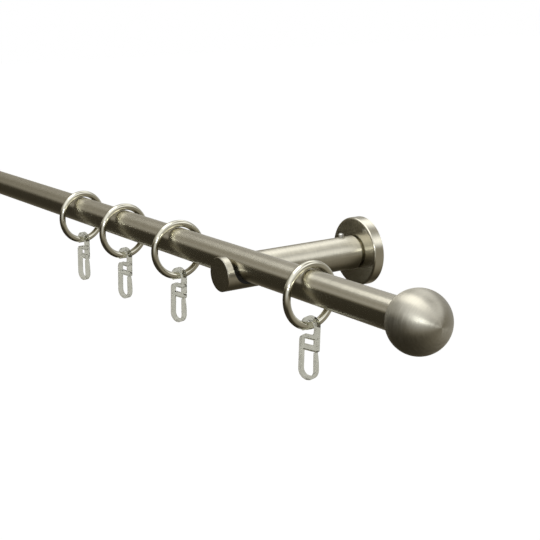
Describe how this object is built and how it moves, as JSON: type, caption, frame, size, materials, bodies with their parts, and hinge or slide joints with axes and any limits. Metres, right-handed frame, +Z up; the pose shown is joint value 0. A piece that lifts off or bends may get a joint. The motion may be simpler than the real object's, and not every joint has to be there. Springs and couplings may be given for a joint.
{
  "type": "curtain rod",
  "caption": "Brushed metal curtain rod on round wall brackets, with ball finials, wire rings that slide along the tube and plastic pleat hooks that swing on them.",
  "frame": {"origin": "on the wall, midway between the two brackets, level with the axes of their arms", "axes": "+X along the tube, +Y into the wall, +Z up"},
  "size_m": [1.1054, 0.1183, 0.076],
  "materials": {
    "brushed_metal": "brushed satin nickel, turned on the ball, arm and rosette",
    "polished_metal": "polished nickel wire",
    "hook_plastic": "clear moulded plastic, slightly grey",
    "black_plastic": "moulded, matt",
    "zinc_steel": "zinc plated"
  },
  "bodies": {
    "rod": {"rod_tube": "brushed_metal", "finial_ball_right": "brushed_metal", "finial_stud_right": "zinc_steel", "tube_plug_right": "black_plastic", "bracket_arm_right": "brushed_metal", "rod_saddle_right": "black_plastic", "rosette_right": "brushed_metal", "wall_plate_right": "zinc_steel", "arm_set_screw_right": "zinc_steel", "rod_lock_screw_right": "zinc_steel", "finial_ball_left": "brushed_metal", "finial_stud_left": "zinc_steel", "tube_plug_left": "black_plastic", "bracket_arm_left": "brushed_metal", "rod_saddle_left": "black_plastic", "rosette_left": "brushed_metal", "wall_plate_left": "zinc_steel", "arm_set_screw_left": "zinc_steel", "rod_lock_screw_left": "zinc_steel"},
    "ring_1": {"ring_1": "polished_metal"},
    "hook_1": {"hook_1": "hook_plastic"},
    "ring_2": {"ring_2": "polished_metal"},
    "hook_2": {"hook_2": "hook_plastic"},
    "ring_3": {"ring_3": "polished_metal"},
    "hook_3": {"hook_3": "hook_plastic"},
    "ring_4": {"ring_4": "polished_metal"},
    "hook_4": {"hook_4": "hook_plastic"}
  },
  "joints": [
    {"name": "ring_1_slide", "type": "slide", "parent": "rod", "child": "ring_1", "axis": [1, 0, 0], "range_m": [-0.465, 0.012]},
    {"name": "ring_2_slide", "type": "slide", "parent": "rod", "child": "ring_2", "axis": [1, 0, 0], "range_m": [-0.012, 0.016]},
    {"name": "ring_3_slide", "type": "slide", "parent": "rod", "child": "ring_3", "axis": [1, 0, 0], "range_m": [-0.016, 0.068]},
    {"name": "ring_4_slide", "type": "slide", "parent": "rod", "child": "ring_4", "axis": [1, 0, 0], "range_m": [-0.059, 0.075]},
    {"name": "hook_1_swing", "type": "hinge", "parent": "ring_1", "child": "hook_1", "pos_m": [0.1212, -0.0975, -0.0187], "axis": [-0.1392, 0.9903, 0], "range_deg": [-30, 30]},
    {"name": "hook_2_swing", "type": "hinge", "parent": "ring_2", "child": "hook_2", "pos_m": [0.1952, -0.0975, -0.0187], "axis": [-0.2504, 0.9681, 0], "range_deg": [-30, 30]},
    {"name": "hook_3_swing", "type": "hinge", "parent": "ring_3", "child": "hook_3", "pos_m": [0.2784, -0.0975, -0.0187], "axis": [-0.2756, 0.9613, 0], "range_deg": [-30, 30]},
    {"name": "hook_4_swing", "type": "hinge", "parent": "ring_4", "child": "hook_4", "pos_m": [0.4369, -0.0975, -0.0187], "axis": [-0.3746, 0.9272, 0], "range_deg": [-30, 30]}
  ]
}
